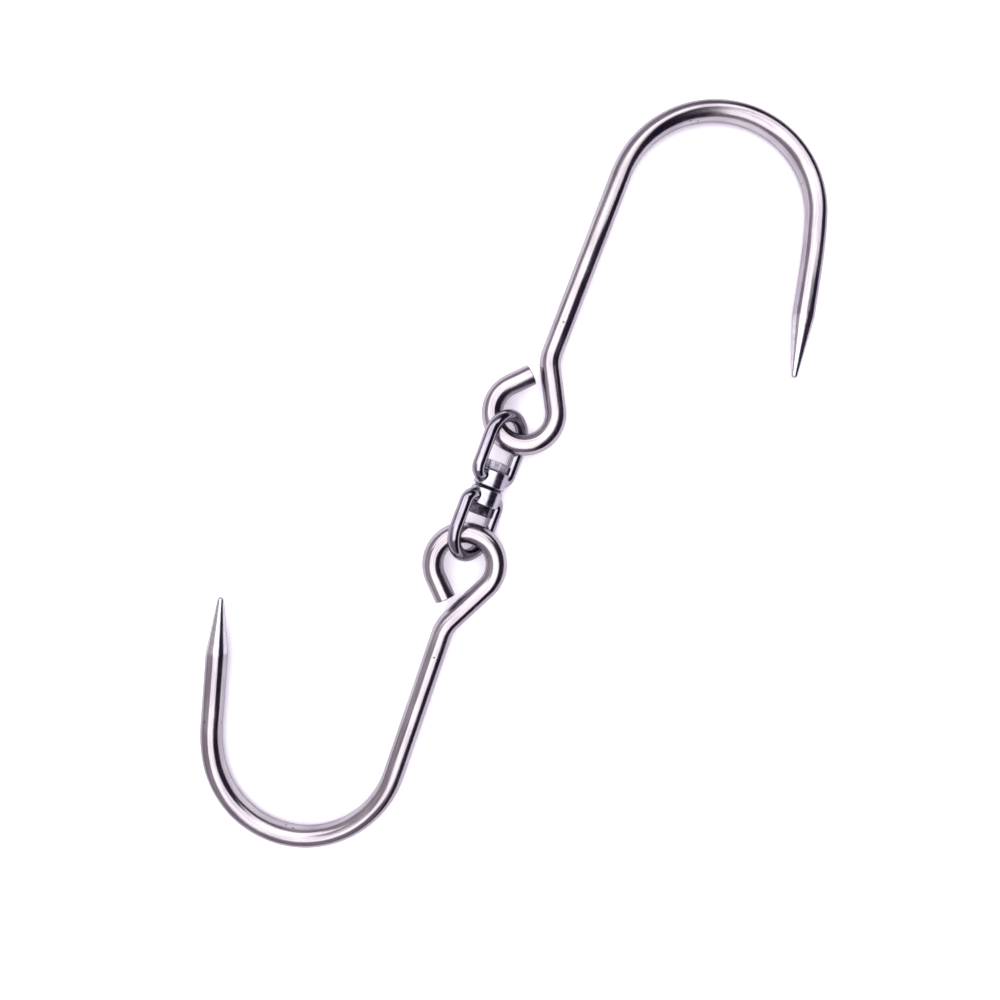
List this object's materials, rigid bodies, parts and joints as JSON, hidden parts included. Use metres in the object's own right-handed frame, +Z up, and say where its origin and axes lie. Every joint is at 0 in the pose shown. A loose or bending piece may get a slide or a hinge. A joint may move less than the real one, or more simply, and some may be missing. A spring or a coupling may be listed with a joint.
{
  "type": "swivel meat hook",
  "caption": "Double-ended meat hook: round steel bar hooks with closed eyes, joined by wire bails on a bolted swivel, for hanging a carcass from a rail.",
  "frame": {"origin": "bottom centre of the bounding box of the object at rest, on the surface that it lies on", "axes": "+Y along the swivel axis from the load hook to the rail hook, +Z up from the surface"},
  "size_m": [0.1772, 0.329, 0.0207],
  "materials": {
    "hook_bar": "satin, ground lengthwise",
    "bail_wire": "barrel polished",
    "collar_steel": "turned",
    "bolt_steel": "plain machined"
  },
  "bodies": {
    "rail_end": {"rail_hook": "hook_bar"},
    "rail_link": {"rail_bail": "bail_wire", "rail_collar": "collar_steel"},
    "spindle": {"swivel_bolt": "bolt_steel", "swivel_nut": "bolt_steel"},
    "load_link": {"load_collar": "collar_steel", "load_bail": "bail_wire"},
    "load_end": {"load_hook": "hook_bar"}
  },
  "joints": [
    {"name": "rail_eye_swing", "type": "hinge", "parent": "rail_end", "child": "rail_link", "pos_m": [-0.00389, 0.02277, 0.00914], "axis": [0, 0.0373, 0.9993], "range_deg": [-60, 40]},
    {"name": "rail_swivel", "type": "hinge", "parent": "rail_link", "child": "spindle", "pos_m": [-0.00689, -0.00832, 0.01034], "axis": [0, 1, 0], "continuous": true},
    {"name": "load_swivel", "type": "hinge", "parent": "spindle", "child": "load_link", "pos_m": [-0.00689, -0.00832, 0.01034], "axis": [0, 1, 0], "continuous": true},
    {"name": "load_eye_swing", "type": "hinge", "parent": "load_link", "child": "load_end", "pos_m": [-0.00519, -0.03841, 0.00946], "axis": [0, -0.0447, 0.999], "range_deg": [-40, 60]}
  ]
}
